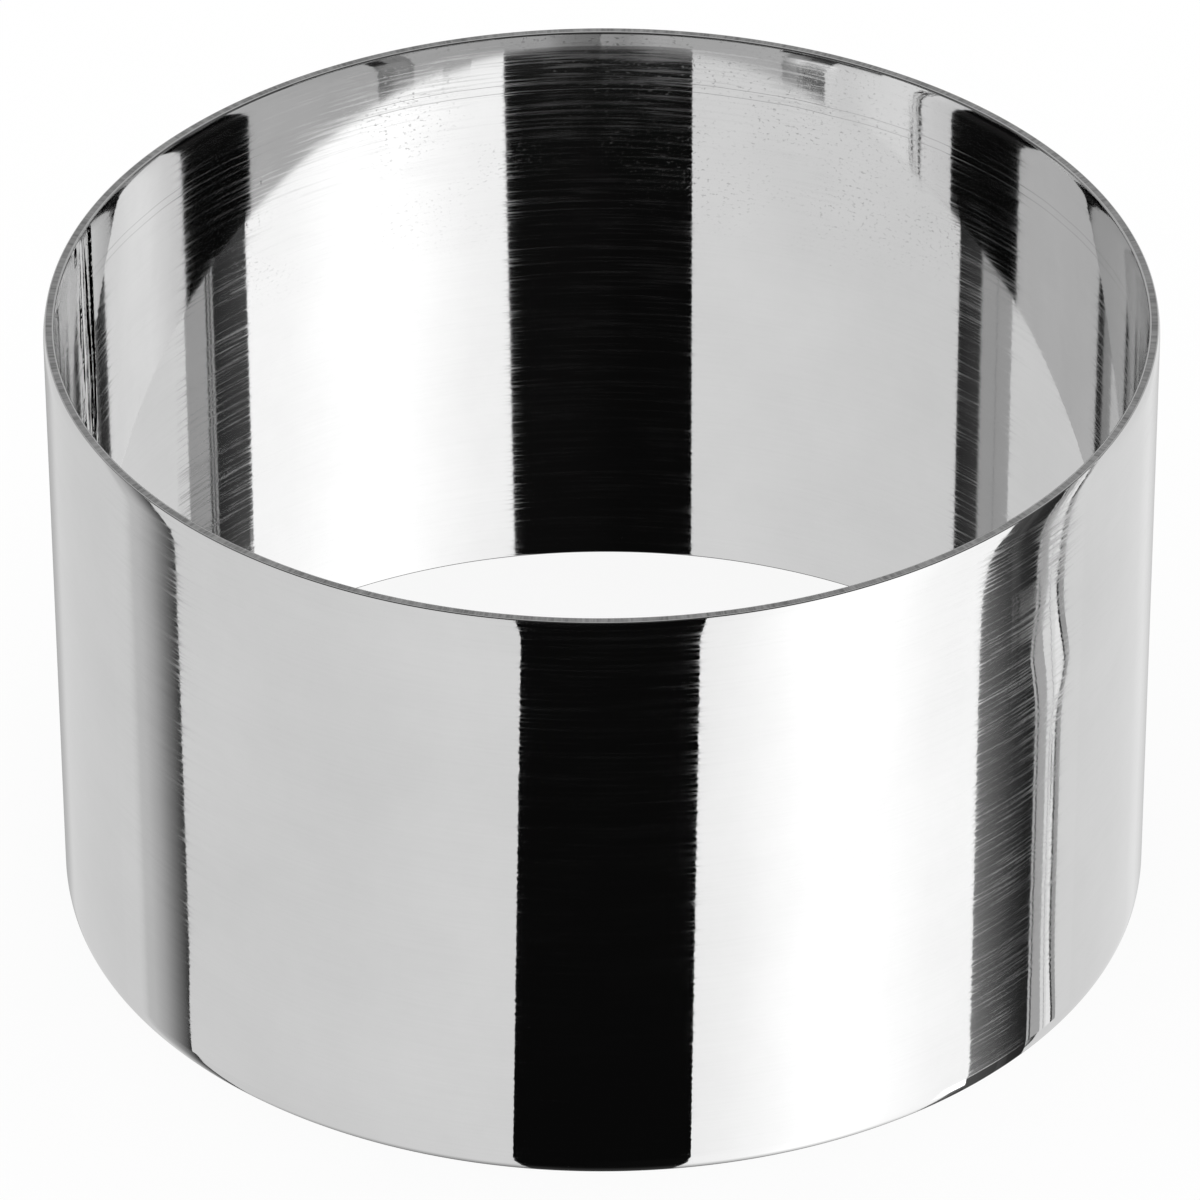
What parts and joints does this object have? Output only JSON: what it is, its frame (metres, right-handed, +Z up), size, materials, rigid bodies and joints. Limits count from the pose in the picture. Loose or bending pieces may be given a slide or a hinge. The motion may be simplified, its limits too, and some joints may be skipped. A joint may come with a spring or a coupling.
{
  "type": "pastry ring",
  "caption": "Plain open-ended ring of polished stainless sheet, rolled and closed by an upright weld, for cutting dough and moulding tarts, mousses and small cakes.",
  "frame": {"origin": "centre of the lower rim, on the ring's axis", "axes": "+Z up along the ring's axis, -X through the weld seam"},
  "size_m": [0.0766, 0.0766, 0.045],
  "materials": {
    "polished_steel": "near mirror polish with fine brush lines round the ring, and satin ground rims",
    "weld_steel": "dressed and polished weld with fine upright ridges"
  },
  "bodies": {
    "root": {"rolled_band": "polished_steel", "weld_seam": "weld_steel"}
  },
  "joints": []
}
